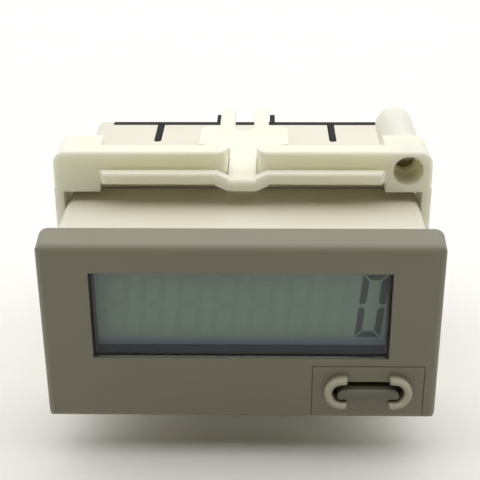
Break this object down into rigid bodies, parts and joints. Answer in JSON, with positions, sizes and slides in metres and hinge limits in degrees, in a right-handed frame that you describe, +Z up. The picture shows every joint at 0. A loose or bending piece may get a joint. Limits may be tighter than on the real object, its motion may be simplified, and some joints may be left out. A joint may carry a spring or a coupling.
{
  "type": "panel counter",
  "caption": "Small flush-mounting totalizing counter: low wide bezel with liquid crystal display and guarded reset key, case behind the panel, sliding clamp bracket and rear screw terminals.",
  "frame": {"origin": "centre of the plane where the bezel's rear face rests on the panel", "axes": "+X to the right seen from the front, +Y to the rear through the panel, +Z up"},
  "size_m": [0.048, 0.0493, 0.0354],
  "materials": {
    "bezel_plastic": "fine satin",
    "clear_window": "clear",
    "key_plastic": "satin",
    "black_plastic": "satin",
    "display_frame_plastic": "matt",
    "display_face": "satin polarizer",
    "contact_rubber": "matt",
    "board": "solder mask",
    "contact_metal": "tinned",
    "chip_plastic": "matt",
    "capacitor_sleeve": "gloss",
    "cell_steel": "bright",
    "case_plastic": "fine satin",
    "terminal_plastic": "satin",
    "terminal_metal": "nickel plated",
    "screw_steel": "zinc plated",
    "bracket_plastic": "satin"
  },
  "bodies": {
    "counter": {"bezel": "bezel_plastic", "window": "clear_window", "key_surround": "bezel_plastic", "reset_switch": "black_plastic", "display_frame": "display_frame_plastic", "display_glass": "display_face", "contact_strips": "contact_rubber", "display_board": "board", "main_board": "board", "board_pins": "contact_metal", "counter_chip": "chip_plastic", "crystal": "contact_metal", "capacitors": "capacitor_sleeve", "coin_cell": "cell_steel", "cell_tabs": "contact_metal", "case": "case_plastic", "terminal_block": "terminal_plastic", "terminal_plates": "terminal_metal", "terminal_washers": "terminal_metal", "terminal_screws": "screw_steel"},
    "reset_key": {"reset_key": "key_plastic", "switch_plunger": "black_plastic"},
    "bracket": {"mounting_bracket": "bracket_plastic"},
    "upper_screw": {"clamp_screw_upper": "screw_steel"},
    "lower_screw": {"clamp_screw_lower": "screw_steel"}
  },
  "joints": [
    {"name": "reset_press", "type": "slide", "parent": "counter", "child": "reset_key", "axis": [0, 1, 0], "range_m": [0, 0.0005], "stiffness_N_per_m": 2000, "springref_m": -0.0004},
    {"name": "bracket_slide", "type": "slide", "parent": "counter", "child": "bracket", "axis": [0, 1, 0], "range_m": [-0.0074, 0.012]},
    {"name": "upper_screw_advance", "type": "slide", "parent": "bracket", "child": "upper_screw", "axis": [0, 1, 0], "range_m": [-0.0062, 0]},
    {"name": "lower_screw_advance", "type": "slide", "parent": "bracket", "child": "lower_screw", "axis": [0, 1, 0], "range_m": [-0.0062, 0]}
  ]
}
